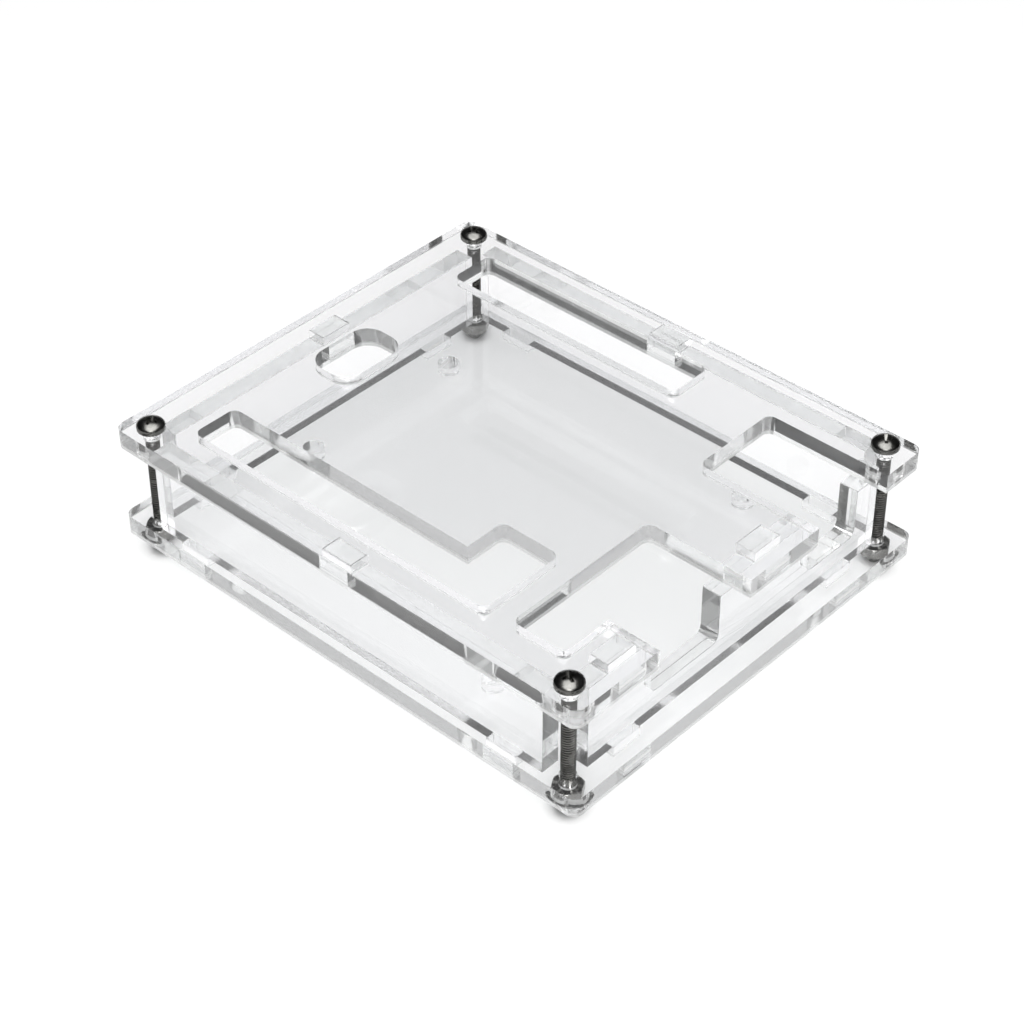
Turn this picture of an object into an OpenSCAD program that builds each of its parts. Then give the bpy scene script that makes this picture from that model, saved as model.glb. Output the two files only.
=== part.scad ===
// Laser-cut clear case for a development board, in millimetres.
// The origin is on the ground under the middle of the case. X runs along the case, with the
// connector openings at +X, Y runs across it and Z is up.

/* [Sheets] */
// Length of the top and bottom sheets
plate_l = 84; // [80:0.5:100]
// Width of the top and bottom sheets
plate_w = 70.4; // [69.4:0.5:90]
// Thickness of the top and bottom sheets
plate_t = 3; // [2:0.1:5]
// Radius of the sheets' outer corners
corner_r = 1.5; // [0.5:0.1:4]
// Height of the space between the two sheets
inner_h = 12; // [8:0.5:20]

/* [Walls] */
// Thickness of the four walls
wall_t = 3; // [2:0.1:3.5]
// Width of sheet that stands out past the long walls
long_lip = 1.2; // [0.5:0.1:2]
// Width of sheet that stands out past the end walls
end_lip = 3; // [2:0.1:4]
// Gap between a wall's end and the screw beside it
wall_end_gap = 1.5; // [0.5:0.1:3]

/* [Tabs] */
// Width of every wall tab
tab_w = 5; // [3:0.1:6]
// Gap all round a tab in its slot
tab_gap = 0.1; // [0.05:0.01:0.2]
// X of the long walls' top tabs
long_top_tab = 0; // [-6:0.5:6]
// Distance from the long walls' ends to the middle of their bottom tabs
long_bottom_tab_inset = 6.9; // [4:0.1:15]
// Distance from the end walls' ends to the middle of their bottom tabs
end_bottom_tab_inset = 7.5; // [4:0.1:12]
// Y of the closed end wall's top tab
left_top_tab = 1.2; // [-8:0.1:8]

/* [Corner screws] */
// Distance from a screw to the end of the sheets
screw_inset_x = 4; // [3.5:0.1:5]
// Distance from a screw to the side of the sheets
screw_inset_y = 3.2; // [3:0.1:5]
// Diameter of the screws
screw_d = 2; // [1.6:0.1:3]
// Gap round a screw in the sheets
screw_gap = 0.2; // [0.1:0.05:0.4]
// Diameter of the screw heads
head_d = 4; // [3.6:0.1:5.6]
// Height of the screw heads
head_h = 1.6; // [1.3:0.1:2.4]
// Radius of the dome over the screw heads
head_dome_r = 3; // [2.5:0.1:5]
// Span of the cross recess
recess_l = 2.2; // [1.4:0.1:2.6]
// Width of the recess's arms
recess_w = 0.5; // [0.3:0.1:0.8]
// Depth of the cross recess
recess_depth = 0.9; // [0.4:0.1:1.1]
// Length of screw that stands out under its nut
screw_tail = 1.6; // [0.5:0.1:4]
// Chamfer at the screw's end
tip_chamfer = 0.3; // [0.1:0.1:0.5]

/* [Nuts] */
// Width across the nut's flats
nut_flats = 4; // [3.6:0.1:5.5]
// Height of the nuts
nut_h = 1.6; // [1.2:0.1:3]
// Gap between a nut's bore and its screw
nut_gap = 0.05; // [0.02:0.01:0.1]
// Height of the chamfer on the nut's corners
nut_chamfer = 0.25; // [0.1:0.05:0.5]

/* [Development board] */
// Length of the board that the case holds
board_l = 68.6; // [60:0.1:69]
// Thickness of the board
board_t = 1.6; // [1:0.1:2]
// Height of the board over the bottom sheet
board_lift = 3; // [2:0.1:4]
// Y of the board's middle
board_y = 0.6; // [-1:0.1:1]
// Diameter of the board's mounting holes
board_hole_d = 3.2; // [2.5:0.1:3.5]
// Distance from the board's connector end to its back hole
back_hole_inset = 14; // [13:0.1:18]
// Distance from the board's connector end to its front hole
front_hole_inset = 15.3; // [13:0.1:18]
// Distance from the board's closed end to the two holes there
end_hole_inset = 2.5; // [2.4:0.1:4]
// Y of the back hole of those two, from the board's middle
end_back_hole_y = 19.1; // [17:0.1:19.1]
// Y of the front hole of those two, from the board's middle
end_front_hole_y = -8.8; // [-13:0.1:-6]
// Distance from the board's middle to its two header rows
header_y = 24.1; // [23:0.1:24.4]

/* [Connector openings] */
// Y of the middle of the data connector, from the board's middle
data_y = -11.4; // [-13:0.1:-9]
// Width of the data connector
data_w = 12; // [8:0.1:13]
// Y of the middle of the power jack, from the board's middle
jack_y = 19.1; // [18:0.1:20]
// Width of the power jack
jack_w = 9; // [6:0.1:9.5]
// Gap at each side of a connector in the end wall
wall_opening_gap = 0.7; // [0.3:0.1:1]
// Gap at each side of a connector in the top sheet
notch_gap = 3; // [0.5:0.1:3.2]
// Gap under the connectors in the end wall
sill_gap = 0.2; // [0:0.1:1]
// Length of the data connector that lies over the board
data_reach = 9.4; // [6:0.1:12]
// Length of the power jack that lies over the board
jack_reach = 12.4; // [8:0.1:15]
// Radius of the inner corners of the notches and slots
notch_r = 1.2; // [0.5:0.1:2]
// Length of the pocket over the reset button
reset_l = 8.7; // [6:0.1:9]
// Y of the front of the pocket over the reset button, from the board's middle
reset_front = -28.6; // [-29:0.1:-26]

/* [Header openings] */
// Distance that a header slot opens inward from its row
slot_inner = 2.3; // [1.4:0.1:3]
// Distance that a header slot opens outward from its row
slot_outer = 5.2; // [2:0.1:5.3]
// X of the closed end of both header slots
slot_start = -33; // [-34:0.1:-31]
// X of the other end of the front slot
front_slot_end = 20.8; // [18:0.1:21]
// X of the other end of the back slot
back_slot_end = 9; // [8:0.1:12]
// Length of the front slot's wider part over the programming pins
wide_l = 9.9; // [8:0.1:12]
// Depth of that wider part
wide_depth = 6.7; // [4:0.1:8]
// X of the middle of the window over the second set of pins
window_x = -30; // [-30.5:0.1:-27]
// Y of the middle of that window, from the board's middle
window_y = -1.2; // [-3:0.1:3]
// Length of the window along X
window_l = 8; // [7:0.1:9]
// Width of the window along Y
window_w = 12; // [9:0.1:14]
// Radius of the window's corners
window_r = 3; // [1:0.1:3.5]

/* [Hidden] */
SCREW_COUNT = 4;
$fn = 48;
CUT = 1;
CLEAR = [0.93, 0.95, 0.96, 0.35];
STEEL = [0.62, 0.63, 0.64];

bottom_z = screw_tail + nut_h;
floor_z = bottom_z + plate_t;
ceiling_z = floor_z + inner_h;
top_z = ceiling_z + plate_t;
screw_l = top_z;
screw_x = plate_l / 2 - screw_inset_x;
screw_y = plate_w / 2 - screw_inset_y;
screw_hole_d = screw_d + 2 * screw_gap;
SCREW_PLACES = [
    [-screw_x, -screw_y],
    [screw_x, -screw_y],
    [screw_x, screw_y],
    [-screw_x, screw_y]
];

long_wall_y = plate_w / 2 - long_lip - wall_t / 2;
end_wall_x = plate_l / 2 - end_lip - wall_t / 2;
long_wall_half = screw_x - screw_d / 2 - wall_end_gap;
end_wall_half = screw_y - screw_d / 2 - wall_end_gap;
long_bottom_tab = long_wall_half - long_bottom_tab_inset;
end_bottom_tab = end_wall_half - end_bottom_tab_inset;
LONG_TOP_TABS = [long_top_tab];
LONG_BOTTOM_TABS = [-long_bottom_tab, long_bottom_tab];
END_BOTTOM_TABS = [-end_bottom_tab, end_bottom_tab];

// Openings in the connector end wall, as [low Y, high Y]
data_opening = beside(data_y, data_w / 2 + wall_opening_gap);
jack_opening = beside(jack_y, jack_w / 2 + wall_opening_gap);
sill_z = floor_z + board_lift + board_t - sill_gap;
data_notch = beside(data_y, data_w / 2 + notch_gap);
jack_notch = beside(jack_y, jack_w / 2 + notch_gap);
data_notch_x = board_l / 2 - data_reach;
jack_notch_x = board_l / 2 - jack_reach;
RIGHT_TOP_TABS = [
    (-end_wall_half + data_opening[0]) / 2,
    (data_opening[1] + jack_opening[0]) / 2
];

// Mounting holes of the board
BOARD_HOLES = [
    [board_l / 2 - back_hole_inset, board_y + header_y],
    [board_l / 2 - front_hole_inset, board_y - header_y],
    [end_hole_inset - board_l / 2, board_y + end_back_hole_y],
    [end_hole_inset - board_l / 2, board_y + end_front_hole_y]
];

// Low and high Y of a span that reaches half to each side of a place on the board
function beside(place, half) = [board_y + place - half, board_y + place + half];

// A flat rectangle with round corners, from its low to its high corner
module round_rect(low, high, r) {
    size = high - low;
    translate([low[0] + r, low[1]])
        square([size[0] - 2 * r, size[1]]);
    translate([low[0], low[1] + r])
        square([size[0], size[1] - 2 * r]);
    for (x = [low[0] + r, high[0] - r], y = [low[1] + r, high[1] - r])
        translate([x, y])
            circle(r);
}

// The outline of both sheets
module sheet_outline() {
    half = [plate_l / 2, plate_w / 2];
    round_rect(-half, half, corner_r);
}

module screw_holes() {
    for (place = SCREW_PLACES)
        translate(place)
            circle(d = screw_hole_d);
}

// Slots in a sheet for tabs along X, at Y of side times the long walls' place
module long_slots(tabs, side) {
    for (x = tabs)
        translate([x, side * long_wall_y])
            square([tab_w + 2 * tab_gap, wall_t + 2 * tab_gap], center = true);
}

// Slots in a sheet for tabs along Y, at X of side times the end walls' place
module end_slots(tabs, side) {
    for (y = tabs)
        translate([side * end_wall_x, y])
            square([wall_t + 2 * tab_gap, tab_w + 2 * tab_gap], center = true);
}

// A notch that runs out through the connector end of the top sheet
module end_notch(inner_x, span) {
    round_rect([inner_x, span[0]], [plate_l / 2 + CUT + notch_r, span[1]], notch_r);
}

// The slot over a header row, at Y of side times the row's place
module header_slot(end_x, side) {
    near = board_y + side * (header_y - slot_inner);
    far = board_y + side * (header_y + slot_outer);
    round_rect([slot_start, min(near, far)], [end_x, max(near, far)], notch_r);
}

module bottom_plate() {
    color(CLEAR)
        translate([0, 0, bottom_z])
            linear_extrude(plate_t)
                difference() {
                    sheet_outline();
                    screw_holes();
                    long_slots(LONG_BOTTOM_TABS, -1);
                    long_slots(LONG_BOTTOM_TABS, 1);
                    end_slots(END_BOTTOM_TABS, -1);
                    end_slots(END_BOTTOM_TABS, 1);
                    for (place = BOARD_HOLES)
                        translate(place)
                            circle(d = board_hole_d);
                }
}

module top_plate() {
    window = [window_l, window_w] / 2;
    window_at = [window_x, board_y + window_y];
    front_row = board_y - header_y;
    reset_low = [data_notch_x, board_y + reset_front];
    reset_high = [data_notch_x + reset_l, board_y + data_y];
    wide_low = [front_slot_end - wide_l, front_row];
    wide_high = [front_slot_end, front_row + slot_inner + wide_depth];
    color(CLEAR)
        translate([0, 0, ceiling_z])
            linear_extrude(plate_t)
                difference() {
                    sheet_outline();
                    screw_holes();
                    long_slots(LONG_TOP_TABS, -1);
                    long_slots(LONG_TOP_TABS, 1);
                    end_slots([left_top_tab], -1);
                    end_slots(RIGHT_TOP_TABS, 1);
                    end_notch(data_notch_x, data_notch);
                    end_notch(jack_notch_x, jack_notch);
                    round_rect(reset_low, reset_high, notch_r);
                    header_slot(front_slot_end, -1);
                    header_slot(back_slot_end, 1);
                    round_rect(wide_low, wide_high, notch_r);
                    round_rect(window_at - window, window_at + window, window_r);
                }
}

// The face of a wall, drawn in the plane of its length and height from the bottom sheet's top
module wall_face(half_l, top_tabs, bottom_tabs) {
    translate([-half_l, 0])
        square([2 * half_l, inner_h]);
    for (u = bottom_tabs)
        translate([u - tab_w / 2, -plate_t])
            square([tab_w, plate_t + CUT]);
    for (u = top_tabs)
        translate([u - tab_w / 2, inner_h - CUT])
            square([tab_w, plate_t + CUT]);
}

// A wall's face stood up along X with its thickness centred on Y
module stand_along_x() {
    translate([0, wall_t / 2, floor_z])
        rotate([90, 0, 0])
            linear_extrude(wall_t)
                children();
}

// A wall's face stood up along Y with its thickness centred on X
module stand_along_y() {
    translate([-wall_t / 2, 0, floor_z])
        rotate([90, 0, 90])
            linear_extrude(wall_t)
                children();
}

module long_wall(side) {
    color(CLEAR)
        translate([0, side * long_wall_y, 0])
            stand_along_x()
                wall_face(long_wall_half, LONG_TOP_TABS, LONG_BOTTOM_TABS);
}

module left_wall() {
    color(CLEAR)
        translate([-end_wall_x, 0, 0])
            stand_along_y()
                wall_face(end_wall_half, [left_top_tab], END_BOTTOM_TABS);
}

// An opening in the connector end wall, from its sill up through the top edge
module wall_opening(span) {
    round_rect([span[0], sill_z - floor_z], [span[1], inner_h + plate_t], notch_r);
}

module right_wall() {
    color(CLEAR)
        translate([end_wall_x, 0, 0])
            stand_along_y()
                difference() {
                    wall_face(end_wall_half, RIGHT_TOP_TABS, END_BOTTOM_TABS);
                    wall_opening(data_opening);
                    wall_opening(jack_opening);
                }
}

module cross_recess() {
    for (turn = [0, 90])
        rotate([0, 0, turn])
            translate([-recess_l / 2, -recess_w / 2, head_h - recess_depth])
                cube([recess_l, recess_w, recess_depth + CUT]);
}

module pan_head() {
    difference() {
        intersection() {
            cylinder(d = head_d, h = head_h);
            translate([0, 0, head_h - head_dome_r])
                sphere(head_dome_r);
        }
        cross_recess();
    }
}

module corner_screw(place) {
    color(STEEL)
        translate(place) {
            translate([0, 0, top_z])
                pan_head();
            translate([0, 0, tip_chamfer])
                cylinder(d = screw_d, h = screw_l - tip_chamfer + CUT / 2);
            cylinder(d1 = screw_d - 2 * tip_chamfer, d2 = screw_d, h = tip_chamfer);
        }
}

// The turned outline that takes the corners off a nut
module nut_turning(corner) {
    flat = nut_flats / 2;
    rotate_extrude()
        polygon([
            [0, 0],
            [flat, 0],
            [corner, nut_chamfer],
            [corner, nut_h - nut_chamfer],
            [flat, nut_h],
            [0, nut_h]
        ]);
}

module corner_nut(place) {
    corner = nut_flats / 2 / cos(30);
    color(STEEL)
        translate([place[0], place[1], screw_tail])
            difference() {
                intersection() {
                    cylinder(r = corner, h = nut_h, $fn = 6);
                    nut_turning(corner);
                }
                translate([0, 0, -CUT])
                    cylinder(d = screw_d + 2 * nut_gap, h = nut_h + 2 * CUT);
            }
}

bottom_plate();
top_plate();
long_wall(-1);  // front_wall
long_wall(1);  // back_wall
left_wall();
right_wall();
for (i = [1:SCREW_COUNT])
    corner_screw(SCREW_PLACES[i - 1]);
for (i = [1:SCREW_COUNT])
    corner_nut(SCREW_PLACES[i - 1]);
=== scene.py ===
"""Dresses a clear laser-cut case for a development board and sets it in a plain studio.

The sheets and walls keep their solids and get a clear acrylic finish with streaked cut edges.
The corner screws are made anew with a rolled thread and a cross recess. Sizes are in metres.
"""

import math

import bmesh
import bpy
from bpy.props import FloatProperty, FloatVectorProperty, IntProperty, PointerProperty
from mathutils import Matrix, Vector


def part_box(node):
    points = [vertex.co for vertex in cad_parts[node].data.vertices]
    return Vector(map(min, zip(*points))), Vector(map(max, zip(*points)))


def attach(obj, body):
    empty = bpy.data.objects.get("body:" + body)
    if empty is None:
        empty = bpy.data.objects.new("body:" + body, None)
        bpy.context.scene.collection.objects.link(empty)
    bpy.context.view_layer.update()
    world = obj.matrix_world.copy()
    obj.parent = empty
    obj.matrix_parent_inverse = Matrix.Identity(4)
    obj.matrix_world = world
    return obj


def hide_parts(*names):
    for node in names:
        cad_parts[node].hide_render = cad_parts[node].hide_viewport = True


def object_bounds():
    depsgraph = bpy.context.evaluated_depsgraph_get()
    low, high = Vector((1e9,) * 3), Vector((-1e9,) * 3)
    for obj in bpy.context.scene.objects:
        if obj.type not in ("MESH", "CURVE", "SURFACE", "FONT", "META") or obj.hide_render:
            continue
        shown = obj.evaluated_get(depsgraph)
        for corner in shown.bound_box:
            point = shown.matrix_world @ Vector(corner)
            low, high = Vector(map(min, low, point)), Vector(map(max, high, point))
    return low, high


bl_info = {
    "name": "Clear Board Case",
    "version": (1, 0, 0),
    "blender": (4, 5, 0),
    "location": "View3D > Sidebar > Clear Case",
    "description": "Finishes a clear acrylic board case, its screws and nuts, and its studio",
    "category": "Object",
}

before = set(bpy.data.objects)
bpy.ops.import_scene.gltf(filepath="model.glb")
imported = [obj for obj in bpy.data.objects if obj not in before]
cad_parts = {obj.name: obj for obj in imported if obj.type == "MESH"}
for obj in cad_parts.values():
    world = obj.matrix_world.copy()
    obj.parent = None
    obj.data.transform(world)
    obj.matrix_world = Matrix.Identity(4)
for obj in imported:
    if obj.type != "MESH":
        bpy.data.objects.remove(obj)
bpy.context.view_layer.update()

MM = 0.001
BODY = "root"
FLAT_SHEETS = ("bottom_plate", "top_plate")
LONG_WALLS = ("front_wall", "back_wall")
END_WALLS = ("left_wall", "right_wall")
CORNERS = (1, 2, 3, 4)
X_AXIS, Y_AXIS, Z_AXIS = range(3)
FULL_TURN = 2 * math.pi

GROUND_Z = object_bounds()[0].z
SEAT_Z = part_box("top_plate")[1].z


class AcrylicSettings(bpy.types.PropertyGroup):
    """Finish of the clear sheets and walls"""

    clear_colour: FloatVectorProperty(
        name="Clear Colour", description="Tint of the polished acrylic faces",
        subtype="COLOR", size=4, min=0, max=1, default=(0.95, 0.95, 0.957, 1),
    )
    edge_colour: FloatVectorProperty(
        name="Edge Colour", description="Tint of the laser-cut edges",
        subtype="COLOR", size=4, min=0, max=1, default=(0.9, 0.905, 0.905, 1),
    )
    shadow_colour: FloatVectorProperty(
        name="Shadow Tint", description="Light that one face lets through to the shadow",
        subtype="COLOR", size=4, min=0, max=1, default=(0.955, 0.958, 0.957, 1),
    )
    refraction: FloatProperty(
        name="Refraction", description="Index of refraction of the acrylic", default=1.49, min=1, max=2,
    )
    face_roughness: FloatProperty(
        name="Face Roughness", description="Roughness of the most handled polished areas",
        default=0.05, min=0, max=1, subtype="FACTOR",
    )
    edge_roughness: FloatProperty(
        name="Edge Roughness", description="Roughness of the laser-cut edges",
        default=0.1, min=0, max=1, subtype="FACTOR",
    )
    edge_clearness: FloatProperty(
        name="Edge Clearness", description="Share of light that passes through a cut edge",
        default=0.965, min=0, max=1, subtype="FACTOR",
    )
    face_clearness: FloatProperty(
        name="Face Clearness", description="Share of light that passes through a polished face",
        default=0.975, min=0, max=1, subtype="FACTOR",
    )
    streak_spacing: FloatProperty(
        name="Streak Spacing", description="Distance between the laser's streaks on a cut edge",
        default=0.25 * MM, min=0.05 * MM, max=MM, unit="LENGTH", precision=5,
    )
    streak_depth: FloatProperty(
        name="Streak Depth", description="Depth of the laser's streaks",
        default=0.004 * MM, min=0, max=0.1 * MM, unit="LENGTH", precision=6,
    )
    edge_round: FloatProperty(
        name="Edge Round", description="Width of the small round on every cut corner",
        default=0.1 * MM, min=0, max=0.5 * MM, unit="LENGTH", precision=5,
    )
    frost_height: FloatProperty(
        name="Frost Height", description="Height of the frosted foot that the laser leaves on a sheet's cut faces",
        default=0.6 * MM, min=0, max=3 * MM, unit="LENGTH", precision=4,
    )
    frost_clearness: FloatProperty(
        name="Frost Clearness", description="Share of light that passes through the frosted foot",
        default=0.5, min=0, max=1, subtype="FACTOR",
    )
    air_gap: FloatProperty(
        name="Air Gap", description="Air that stays between a wall and the sheet that presses on it",
        default=0.015 * MM, min=0, max=0.05 * MM, unit="LENGTH", precision=6,
    )


class ScrewSettings(bpy.types.PropertyGroup):
    """Sizes and finish of the corner screws and nuts"""

    shank_d: FloatProperty(
        name="Shank Diameter", description="Outside diameter of the thread",
        default=2 * MM, min=1.5 * MM, max=4 * MM, unit="LENGTH", precision=4,
    )
    pitch: FloatProperty(
        name="Thread Pitch", description="Distance between two turns of the thread",
        default=0.4 * MM, min=0.3 * MM, max=MM, unit="LENGTH", precision=5,
    )
    thread_depth: FloatProperty(
        name="Thread Depth", description="Height of the thread's ridge",
        default=0.23 * MM, min=0.1 * MM, max=0.5 * MM, unit="LENGTH", precision=5,
    )
    dome_radius: FloatProperty(
        name="Dome Radius", description="Radius of the dome over the head",
        default=3 * MM, min=2.2 * MM, max=8 * MM, unit="LENGTH", precision=4,
    )
    head_h: FloatProperty(
        name="Head Height", description="Height of the whole dome over the sheet",
        default=1.6 * MM, min=MM, max=3 * MM, unit="LENGTH", precision=4,
    )
    recess_span: FloatProperty(
        name="Recess Span", description="Span of the cross recess at the head's face",
        default=2.2 * MM, min=MM, max=3.4 * MM, unit="LENGTH", precision=4,
    )
    recess_arm: FloatProperty(
        name="Recess Arm Width", description="Width of an arm of the cross recess",
        default=0.5 * MM, min=0.3 * MM, max=1.2 * MM, unit="LENGTH", precision=4,
    )
    recess_depth: FloatProperty(
        name="Recess Depth", description="Depth of the cross recess",
        default=0.9 * MM, min=0.3 * MM, max=1.6 * MM, unit="LENGTH", precision=4,
    )
    steel_colour: FloatVectorProperty(
        name="Screw Colour", description="Colour of the screws' dark plating",
        subtype="COLOR", size=4, min=0, max=1, default=(0.12, 0.119, 0.113, 1),
    )
    nut_colour: FloatVectorProperty(
        name="Nut Colour", description="Colour of the nuts' plating",
        subtype="COLOR", size=4, min=0, max=1, default=(0.15, 0.149, 0.142, 1),
    )
    steel_roughness: FloatProperty(
        name="Plating Roughness", description="Roughness of the plating",
        default=0.2, min=0, max=1, subtype="FACTOR",
    )
    segments: IntProperty(
        name="Segments", description="Facets round a screw", default=32, min=12, max=96,
    )


class StageSettings(bpy.types.PropertyGroup):
    """Floor, lamps and camera"""

    floor_colour: FloatVectorProperty(
        name="Floor Colour", description="Colour of the studio floor",
        subtype="COLOR", size=4, min=0, max=1, default=(0.86, 0.86, 0.86, 1),
    )
    room_colour: FloatVectorProperty(
        name="Room Colour", description="Light that comes from the room round the studio",
        subtype="COLOR", size=4, min=0, max=1, default=(0.03, 0.03, 0.031, 1),
    )
    key_power: FloatProperty(
        name="Top Lamp Power", description="Power of the large lamp over the case",
        default=16.5, min=0, max=100, unit="POWER",
    )
    front_power: FloatProperty(
        name="Front Lamp Power", description="Power of the softbox above the camera",
        default=5.5, min=0, max=100, unit="POWER",
    )
    azimuth: FloatProperty(
        name="Camera Azimuth", description="Turn of the camera round the case",
        default=math.radians(42.65), subtype="ANGLE",
    )
    elevation: FloatProperty(
        name="Camera Elevation", description="Angle of the camera over the horizon",
        default=math.radians(39), subtype="ANGLE",
    )
    roll: FloatProperty(
        name="Camera Roll", description="Turn of the camera about its own line of sight",
        default=math.radians(-0.12), subtype="ANGLE",
    )
    distance: FloatProperty(
        name="Camera Distance", description="Distance from the camera to the middle of the case",
        default=364.1 * MM, min=0.1, max=2, unit="LENGTH", precision=4,
    )
    lens: FloatProperty(
        name="Lens", description="Focal length in millimetres on a 36 mm sensor",
        default=93.13, min=20, max=300,
    )
    aim_height: FloatProperty(
        name="Aim Height", description="Height of the point that the camera circles",
        default=11.8 * MM, min=0, max=0.1, unit="LENGTH", precision=4,
    )
    aside: FloatProperty(
        name="Camera Aside", description="Distance that the camera stands to the left",
        default=0.62 * MM, min=-0.05, max=0.05, unit="LENGTH", precision=4,
    )
    below: FloatProperty(
        name="Camera Below", description="Distance that the camera stands low",
        default=2.74 * MM, min=-0.05, max=0.05, unit="LENGTH", precision=4,
    )


def new_material(name):
    """A fresh node material with only its output."""
    material = bpy.data.materials.new(name)
    material.use_nodes = True
    tree = material.node_tree
    tree.nodes.clear()
    output = tree.nodes.new("ShaderNodeOutputMaterial")
    return material, tree, output


def add_node(tree, kind, values=None, **settings):
    """A node with the given settings, whose sockets hold the values or are linked to them."""
    node = tree.nodes.new(kind)
    for key, value in settings.items():
        setattr(node, key, value)
    for socket, value in (values or {}).items():
        if isinstance(value, bpy.types.NodeSocket):
            tree.links.new(value, node.inputs[socket])
        else:
            node.inputs[socket].default_value = value
    return node


def math_node(tree, operation, *values):
    """The result of a math operation on sockets or numbers."""
    node = add_node(tree, "ShaderNodeMath", dict(enumerate(values)), operation=operation)
    return node.outputs[0]


def ramp(tree, value, low, high, to_low, to_high):
    """A value moved from one range to another and held at its ends."""
    values = {"Value": value, "From Min": low, "From Max": high, "To Min": to_low, "To Max": to_high}
    return add_node(tree, "ShaderNodeMapRange", values, clamp=True).outputs["Result"]


def mix_colours(tree, factor, first, second):
    """A colour between the first and the second."""
    node = add_node(tree, "ShaderNodeMix", data_type="RGBA")
    pairs = ((0, factor), (6, first), (7, second))
    for index, value in pairs:
        if isinstance(value, bpy.types.NodeSocket):
            tree.links.new(value, node.inputs[index])
        else:
            node.inputs[index].default_value = value
    return node.outputs[2]


def noise(tree, place, scale, detail, stretch=None):
    """A noise value at an object-space place, stretched along one axis if asked."""
    if stretch:
        place = add_node(tree, "ShaderNodeMapping", {"Vector": place, "Scale": stretch}).outputs["Vector"]
    values = {"Vector": place, "Scale": scale, "Detail": detail}
    return add_node(tree, "ShaderNodeTexNoise", values).outputs["Fac"]


SMUDGE_SCALE = 55
STREAK_STRETCH = 0.06
CUT_LIMIT = 0.5
TRAPPED_DEPTHS = (4, 6)
TRAPPED_CLEARNESS = 0.05


FROST_FADE = 0.15 * MM
FROST_SWAY = 0.3 * MM


def frosted_foot(tree, place, streaks, underside, settings):
    """How much of the light the foot of a cut face lets through, with a ragged upper limit."""
    height = add_node(tree, "ShaderNodeSeparateXYZ", {"Vector": place}).outputs[Z_AXIS]
    ragged = math_node(tree, "MULTIPLY_ADD", streaks, FROST_SWAY, height)
    limit = underside + settings.frost_height + FROST_SWAY / 2
    return ramp(tree, ragged, limit - FROST_FADE, limit + FROST_FADE, settings.frost_clearness, 1)


def acrylic(name, thickness_axis, settings, underside=None):
    """Clear acrylic whose polished faces are square to one axis and whose other faces are laser cut."""
    material, tree, output = new_material(name)
    place = add_node(tree, "ShaderNodeTexCoord").outputs["Object"]
    normal = add_node(tree, "ShaderNodeNewGeometry").outputs["True Normal"]
    facing = add_node(tree, "ShaderNodeSeparateXYZ", {"Vector": normal}).outputs

    flatness = math_node(tree, "ABSOLUTE", facing[thickness_axis])
    cut = math_node(tree, "LESS_THAN", flatness, CUT_LIMIT)

    smudges = noise(tree, place, SMUDGE_SCALE, 3)
    face_roughness = ramp(tree, smudges, 0.45, 0.7, 0.004, settings.face_roughness)
    stretch = [1, 1, 1]
    stretch[thickness_axis] = STREAK_STRETCH
    streaks = noise(tree, place, 1 / settings.streak_spacing, 2, stretch)
    edge_roughness = ramp(tree, streaks, 0.3, 0.7, settings.edge_roughness / 2, settings.edge_roughness)

    clear = mix_colours(tree, cut, settings.clear_colour, settings.edge_colour)
    roughness = add_node(tree, "ShaderNodeMix", {0: cut, 2: face_roughness, 3: edge_roughness}).outputs[0]
    cut_clearness = settings.edge_clearness
    if underside is not None:
        foot = frosted_foot(tree, place, streaks, underside, settings)
        cut_clearness = math_node(tree, "MULTIPLY", foot, settings.edge_clearness)
    clearness = ramp(tree, cut, 0, 1, settings.face_clearness, cut_clearness)
    path = add_node(tree, "ShaderNodeLightPath").outputs
    trapped = ramp(tree, path["Ray Depth"], *TRAPPED_DEPTHS, 1, TRAPPED_CLEARNESS)
    clearness = math_node(tree, "MULTIPLY", clearness, trapped)

    relief = math_node(tree, "MULTIPLY", streaks, cut)
    bump = add_node(
        tree, "ShaderNodeBump", {"Height": relief, "Distance": settings.streak_depth, "Strength": 1.0}
    ).outputs["Normal"]
    body = add_node(
        tree, "ShaderNodeBsdfPrincipled",
        {
            "Base Color": clear, "Roughness": roughness, "IOR": settings.refraction,
            "Transmission Weight": clearness, "Normal": bump,
        },
    ).outputs["BSDF"]
    lamp_light = add_node(
        tree, "ShaderNodeBsdfTransparent", {"Color": settings.shadow_colour}
    ).outputs["BSDF"]
    lighting = math_node(tree, "MAXIMUM", path["Is Shadow Ray"], path["Is Diffuse Ray"])
    mixed = add_node(tree, "ShaderNodeMixShader", {0: lighting, 1: body, 2: lamp_light}).outputs[0]
    tree.links.new(mixed, output.inputs["Surface"])
    return material


def plated_steel(name, colour, settings):
    """Dark plated steel with faint drawing lines and handling marks."""
    material, tree, output = new_material(name)
    place = add_node(tree, "ShaderNodeTexCoord").outputs["Object"]
    grain = noise(tree, place, 4000, 2)
    marks = noise(tree, place, 700, 3)
    worn = tuple(min(1.0, 1.7 * channel) for channel in colour[:3]) + (1.0,)
    shade = mix_colours(tree, ramp(tree, marks, 0.42, 0.75, 0, 1), tuple(colour), worn)
    roughness = ramp(tree, marks, 0.3, 0.7, settings.steel_roughness, settings.steel_roughness * 1.5)
    bump = add_node(
        tree, "ShaderNodeBump", {"Height": grain, "Distance": 0.01 * MM, "Strength": 0.5}
    ).outputs["Normal"]
    body = add_node(
        tree, "ShaderNodeBsdfPrincipled",
        {"Base Color": shade, "Metallic": 1.0, "Roughness": roughness, "Normal": bump},
    ).outputs["BSDF"]
    tree.links.new(body, output.inputs["Surface"])
    return material


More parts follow.
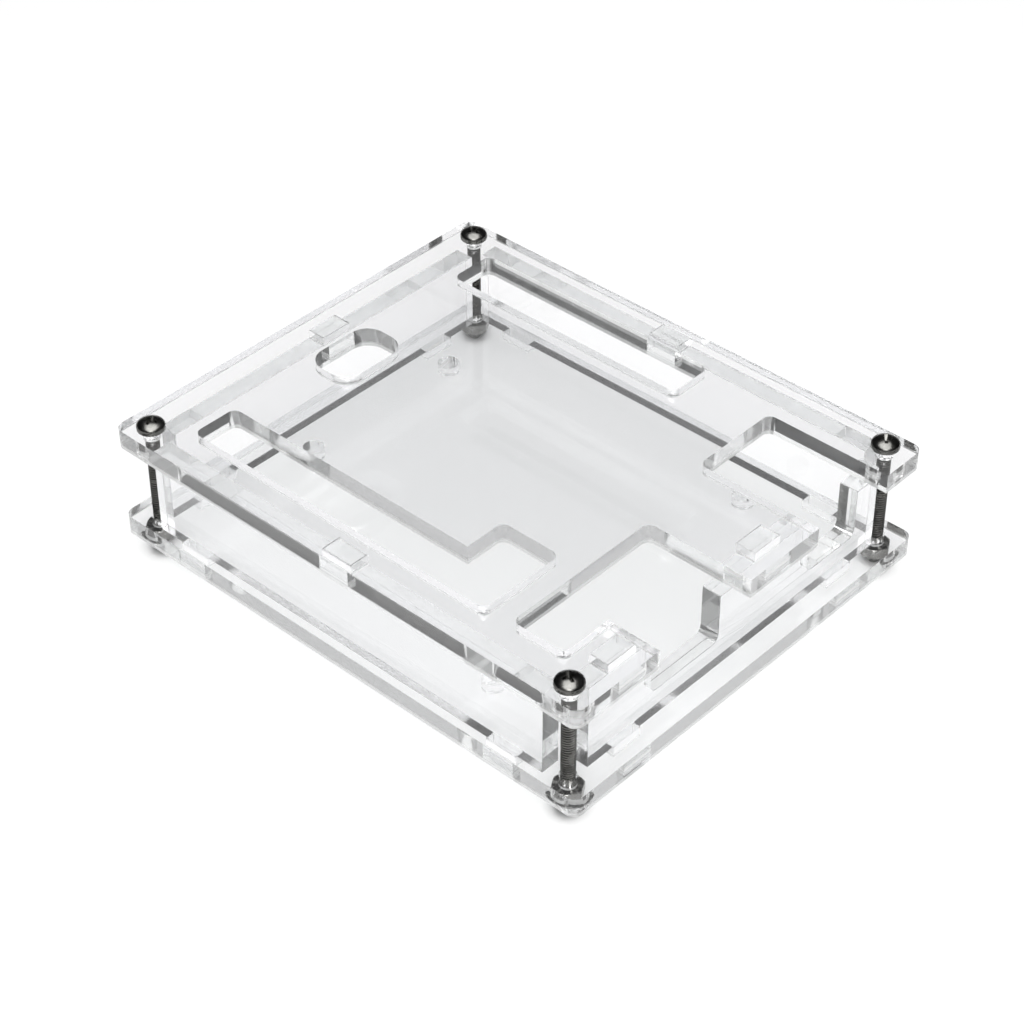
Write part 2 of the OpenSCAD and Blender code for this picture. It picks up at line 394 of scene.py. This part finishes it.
def studio_paper(name, colour):
    """Matt pale paper with a very faint mottle."""
    material, tree, output = new_material(name)
    place = add_node(tree, "ShaderNodeTexCoord").outputs["Object"]
    mottle = noise(tree, place, 30, 2)
    darker = tuple(0.985 * channel for channel in colour[:3]) + (1.0,)
    shade = mix_colours(tree, mottle, darker, tuple(colour))
    body = add_node(
        tree, "ShaderNodeBsdfPrincipled", {"Base Color": shade, "Roughness": 0.9}
    ).outputs["BSDF"]
    tree.links.new(body, output.inputs["Surface"])
    return material


WELD = 0.002 * MM
ROUND_ANGLE = math.radians(40)


def round_edges(node, width, gap=0.0, segments=2):
    """Joins a solid's faces, draws them in by a hair if asked and puts a small round on its corners."""
    weld = node.modifiers.new("join_faces", "WELD")
    weld.merge_threshold = WELD
    if gap:
        shrink = node.modifiers.new("air_gap", "DISPLACE")
        shrink.direction = "NORMAL"
        shrink.mid_level = 0
        shrink.strength = -gap
    bevel = node.modifiers.new("small_round", "BEVEL")
    bevel.width = width
    bevel.segments = segments
    bevel.limit_method = "ANGLE"
    bevel.angle_limit = ROUND_ANGLE
    bevel.harden_normals = True
    bevel.use_clamp_overlap = True


def dress(names, material, width, gap=0.0):
    """Gives CAD solids a material and rounded corners."""
    for name in names:
        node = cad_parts[name]
        node.data.materials.clear()
        node.data.materials.append(material)
        round_edges(node, width, gap)


def thread_radius(settings, height, turn, low, high):
    """Radius of the threaded shank at a height and a turn, from the tip's chamfer to the head."""
    crest, valley = settings.shank_d / 2, settings.shank_d / 2 - settings.thread_depth
    phase = (height / settings.pitch - turn) % 1
    ridge = max(0.0, min(1.0, 1.5 - abs(phase - 0.5) * 4))
    tip = crest - TIP_CHAMFER + (height - low)
    return min(valley + (crest - valley) * ridge, tip)


TIP_CHAMFER = 0.3 * MM
ROWS_PER_TURN = 8


def threaded_shank(mesh, settings, low, high):
    """Adds a closed shank whose rows of faces follow the thread's helix."""
    columns = settings.segments
    turns = math.ceil((high - low) / settings.pitch) + 1
    rows = turns * ROWS_PER_TURN
    start = low - settings.pitch
    verts = []
    for row in range(rows + 1):
        ring = []
        for column in range(columns):
            turn = column / columns
            height = start + (row / ROWS_PER_TURN + turn) * settings.pitch
            height = max(low, min(high, height))
            radius = thread_radius(settings, height, turn, low, high)
            angle = turn * FULL_TURN
            ring.append(mesh.verts.new((radius * math.cos(angle), radius * math.sin(angle), height)))
        verts.append(ring)
    for row in range(rows):
        for column in range(columns):
            last = column == columns - 1
            after = 0 if last else column + 1
            lift = ROWS_PER_TURN if last else 0
            if row + 1 + lift > rows:
                continue
            corners = (
                verts[row][column], verts[row + lift][after],
                verts[row + 1 + lift][after], verts[row + 1][column],
            )
            mesh.faces.new(corners)


def close_ends(mesh):
    """Merges what lies together and caps the open ends."""
    bmesh.ops.remove_doubles(mesh, verts=mesh.verts, dist=WELD / 2)
    bmesh.ops.dissolve_degenerate(mesh, dist=WELD / 2, edges=mesh.edges)
    bmesh.ops.holes_fill(mesh, edges=[edge for edge in mesh.edges if edge.is_boundary], sides=0)
    bmesh.ops.recalc_face_normals(mesh, faces=mesh.faces)


def head_outline(settings, head_radius):
    """Points from the middle of the head's underside, out, and up over its dome to the middle."""
    rim_round = 0.15 * MM
    foot = 0.1 * MM
    centre = settings.head_h - settings.dome_radius
    steps = 10
    reach = head_radius - rim_round
    slope = math.asin(reach / settings.dome_radius)
    points = [(0, 0), (head_radius - foot, 0), (head_radius, foot)]
    rim_z = centre + settings.dome_radius * math.cos(math.asin(head_radius / settings.dome_radius))
    points.append((head_radius, rim_z - rim_round))
    points.append((head_radius - rim_round * 0.3, rim_z - rim_round * 0.25))
    for step in range(steps):
        angle = slope * (1 - step / steps)
        points.append((settings.dome_radius * math.sin(angle), centre + settings.dome_radius * math.cos(angle)))
    points.append((0, settings.head_h))
    return points


def turned(name, points, segments):
    """A closed mesh turned about Z from points in (radius, height), the first and last on the axis."""
    mesh = bmesh.new()
    rings = []
    for radius, height in points:
        if radius == 0:
            rings.append([mesh.verts.new((0, 0, height))])
            continue
        ring = []
        for step in range(segments):
            angle = FULL_TURN * step / segments
            ring.append(mesh.verts.new((radius * math.cos(angle), radius * math.sin(angle), height)))
        rings.append(ring)
    for lower, upper in zip(rings, rings[1:]):
        for step in range(segments):
            after = (step + 1) % segments
            corners = [
                lower[step % len(lower)], lower[after % len(lower)],
                upper[after % len(upper)], upper[step % len(upper)],
            ]
            unique = list(dict.fromkeys(corners))
            mesh.faces.new(unique)
    bmesh.ops.recalc_face_normals(mesh, faces=mesh.faces)
    data = bpy.data.meshes.new(name)
    mesh.to_mesh(data)
    mesh.free()
    return data


def cross_cutter(settings):
    """A cross that narrows as it goes down, to be taken out of a screw head."""
    half, arm = settings.recess_span / 2, settings.recess_arm / 2
    levels = (
        (settings.head_h - settings.recess_depth, 0.45, 0.7),
        (settings.head_h + 0.2 * MM, 1.12, 1.05),
    )
    mesh = bmesh.new()
    rings = []
    for height, reach, width in levels:
        a, b = arm * width, half * reach
        outline = [
            (b, -a), (b, a), (a, a), (a, b), (-a, b), (-a, a),
            (-b, a), (-b, -a), (-a, -a), (-a, -b), (a, -b), (a, -a),
        ]
        rings.append([mesh.verts.new((x, y, height)) for x, y in outline])
    count = len(rings[0])
    for step in range(count):
        after = (step + 1) % count
        mesh.faces.new((rings[0][step], rings[0][after], rings[1][after], rings[1][step]))
    mesh.faces.new(rings[0])
    mesh.faces.new(rings[1])
    bmesh.ops.recalc_face_normals(mesh, faces=mesh.faces)
    data = bpy.data.meshes.new("cross_cutter")
    mesh.to_mesh(data)
    mesh.free()
    return data


def cut_head(settings, head_radius):
    """A domed head with its cross recess, as a mesh that stands on its underside."""
    scene = bpy.context.scene
    outline = head_outline(settings, head_radius)
    head = bpy.data.objects.new("head_blank", turned("head_blank", outline, settings.segments * 2))
    cutter = bpy.data.objects.new("cross_cutter", cross_cutter(settings))
    for blank in (head, cutter):
        scene.collection.objects.link(blank)
    cut = head.modifiers.new("recess", "BOOLEAN")
    cut.operation, cut.solver, cut.object = "DIFFERENCE", "EXACT", cutter
    soften = head.modifiers.new("soften", "BEVEL")
    soften.width, soften.segments = 0.05 * MM, 2
    soften.limit_method, soften.angle_limit = "ANGLE", ROUND_ANGLE
    graph = bpy.context.evaluated_depsgraph_get()
    made = bpy.data.meshes.new_from_object(head.evaluated_get(graph))
    for blank in (head, cutter):
        bpy.data.objects.remove(blank)
    return made


HEAD_OVERLAP = 0.3 * MM
SMOOTH_ANGLE = math.radians(35)


def screw_mesh(settings, head_radius):
    """One whole screw, standing on its tip at the origin."""
    mesh = bmesh.new()
    threaded_shank(mesh, settings, 0, SEAT_Z - GROUND_Z + HEAD_OVERLAP)
    close_ends(mesh)
    head = cut_head(settings, head_radius)
    head.transform(Matrix.Translation((0, 0, SEAT_Z - GROUND_Z)))
    mesh.from_mesh(head)
    bpy.data.meshes.remove(head)
    data = bpy.data.meshes.new("corner_screw_form")
    mesh.to_mesh(data)
    mesh.free()
    for face in data.polygons:
        face.use_smooth = True
    data.set_sharp_from_angle(angle=SMOOTH_ANGLE)
    return data


def big_floor(settings):
    """A floor that runs past the view on every side."""
    half = 3.0
    data = bpy.data.meshes.new("studio_floor")
    data.from_pydata([(-half, -half, 0), (half, -half, 0), (half, half, 0), (-half, half, 0)], [], [(0, 1, 2, 3)])
    floor = bpy.data.objects.new("studio_floor", data)
    floor.location.z = GROUND_Z
    data.materials.append(studio_paper("studio_paper", settings.floor_colour))
    bpy.context.scene.collection.objects.link(floor)


def softbox(name, place, aim, size, power):
    """A soft square lamp at a place, turned to a point."""
    lamp = bpy.data.lights.new(name, "AREA")
    lamp.shape, lamp.size, lamp.energy = "SQUARE", size, power
    holder = bpy.data.objects.new(name, lamp)
    holder.location = place
    holder.rotation_mode = "QUATERNION"
    holder.rotation_quaternion = (Vector(aim) - Vector(place)).to_track_quat("-Z", "Y")
    bpy.context.scene.collection.objects.link(holder)


def place_camera(settings):
    """The camera at the photograph's angle, aimed past the middle of the case."""
    azimuth, elevation = settings.azimuth, settings.elevation
    back = Vector((
        math.sin(azimuth) * math.cos(elevation),
        -math.cos(azimuth) * math.cos(elevation),
        math.sin(elevation),
    ))
    level = Vector((math.cos(azimuth), math.sin(azimuth), 0))
    rise = back.cross(level)
    right = math.cos(settings.roll) * level + math.sin(settings.roll) * rise
    up = back.cross(right)
    aim = Vector((0, 0, GROUND_Z + settings.aim_height))
    data = bpy.data.cameras.new("photo_camera")
    data.lens = settings.lens
    data.sensor_width = 36
    camera = bpy.data.objects.new("photo_camera", data)
    turn = Matrix((right, up, back)).transposed().to_4x4()
    place = aim + back * settings.distance - right * settings.aside - up * settings.below
    camera.matrix_world = Matrix.Translation(place) @ turn
    bpy.context.scene.collection.objects.link(camera)
    bpy.context.scene.camera = camera


class CASE_OT_finish_sheets(bpy.types.Operator):
    """Give the top and bottom sheets their clear finish and cut edges"""

    bl_idname = "clear_case.finish_sheets"
    bl_label = "Finish Sheets"

    def execute(self, context):
        settings = context.scene.case_acrylic
        for sheet in FLAT_SHEETS:
            finish = acrylic(f"{sheet}_acrylic", Z_AXIS, settings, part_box(sheet)[0].z)
            dress([sheet], finish, settings.edge_round)
        return {"FINISHED"}


class CASE_OT_finish_walls(bpy.types.Operator):
    """Give the four walls their clear finish and cut edges"""

    bl_idname = "clear_case.finish_walls"
    bl_label = "Finish Walls"

    def execute(self, context):
        settings = context.scene.case_acrylic
        width, gap = settings.edge_round, settings.air_gap
        dress(LONG_WALLS, acrylic("long_wall_acrylic", Y_AXIS, settings), width, gap)
        dress(END_WALLS, acrylic("end_wall_acrylic", X_AXIS, settings), width, gap)
        return {"FINISHED"}


class CASE_OT_make_screws(bpy.types.Operator):
    """Make the four corner screws with their threads and cross recesses"""

    bl_idname = "clear_case.make_screws"
    bl_label = "Make Screws"

    def execute(self, context):
        settings = context.scene.case_screws
        low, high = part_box("corner_screw_1")
        form = screw_mesh(settings, (high.x - low.x) / 2)
        form.materials.append(plated_steel("screw_plating", settings.steel_colour, settings))
        for corner in CORNERS:
            node = f"corner_screw_{corner}"
            low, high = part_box(node)
            screw = bpy.data.objects.new(f"threaded_screw_{corner}", form.copy())
            context.scene.collection.objects.link(screw)
            turn = Matrix.Rotation(SCREW_TURNS[corner], 4, "Z")
            place = Matrix.Translation(((low.x + high.x) / 2, (low.y + high.y) / 2, GROUND_Z))
            screw.data.transform(place @ turn)
            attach(screw, BODY)
            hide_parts(node)
        return {"FINISHED"}


SCREW_TURNS = {1: math.radians(20), 2: math.radians(65), 3: math.radians(38), 4: math.radians(80)}


class CASE_OT_finish_nuts(bpy.types.Operator):
    """Give the four nuts their plating and softened corners"""

    bl_idname = "clear_case.finish_nuts"
    bl_label = "Finish Nuts"

    def execute(self, context):
        settings = context.scene.case_screws
        plating = plated_steel("nut_plating", settings.nut_colour, settings)
        dress([f"corner_nut_{corner}" for corner in CORNERS], plating, 0.08 * MM)
        return {"FINISHED"}


class CASE_OT_set_stage(bpy.types.Operator):
    """Lay the floor, hang the lamps and place the camera"""

    bl_idname = "clear_case.set_stage"
    bl_label = "Set Stage"

    def execute(self, context):
        settings = context.scene.case_stage
        place_camera(settings)
        big_floor(settings)
        softbox("top_softbox", (0.1, -0.11, 1.1), (0, 0, 0), 1.1, settings.key_power)
        softbox("front_softbox", (0.55, -0.6, 0.75), (0, 0, 0), 0.5, settings.front_power)
        world = bpy.data.worlds.new("studio_room")
        world.use_nodes = True
        world.node_tree.nodes["Background"].inputs["Color"].default_value = settings.room_colour
        context.scene.world = world
        context.scene.view_settings.view_transform = "Standard"
        return {"FINISHED"}


class CASE_PT_dressing(bpy.types.Panel):
    """Steps that dress the case, in order"""

    bl_label = "Clear Case"
    bl_idname = "CASE_PT_dressing"
    bl_space_type = "VIEW_3D"
    bl_region_type = "UI"
    bl_category = "Clear Case"

    def draw(self, context):
        column = self.layout.column()
        for operator in OPERATORS:
            column.operator(operator.bl_idname)
        for group in (context.scene.case_acrylic, context.scene.case_screws, context.scene.case_stage):
            box = self.layout.box()
            for key in group.__annotations__:
                box.prop(group, key)


OPERATORS = (
    CASE_OT_set_stage,
    CASE_OT_finish_sheets,
    CASE_OT_finish_walls,
    CASE_OT_make_screws,
    CASE_OT_finish_nuts,
)
CLASSES = (AcrylicSettings, ScrewSettings, StageSettings, *OPERATORS, CASE_PT_dressing)


def register():
    for entry in CLASSES:
        bpy.utils.register_class(entry)
    bpy.types.Scene.case_acrylic = PointerProperty(type=AcrylicSettings)
    bpy.types.Scene.case_screws = PointerProperty(type=ScrewSettings)
    bpy.types.Scene.case_stage = PointerProperty(type=StageSettings)


def unregister():
    del bpy.types.Scene.case_stage
    del bpy.types.Scene.case_screws
    del bpy.types.Scene.case_acrylic
    for entry in reversed(CLASSES):
        bpy.utils.unregister_class(entry)


def main():
    """Registers the add-on and runs its steps in order."""
    register()
    bpy.ops.clear_case.set_stage()
    bpy.ops.clear_case.finish_sheets()
    bpy.ops.clear_case.finish_walls()
    bpy.ops.clear_case.make_screws()
    bpy.ops.clear_case.finish_nuts()
    bpy.context.view_layer.update()


if __name__ == "__main__":
    main()
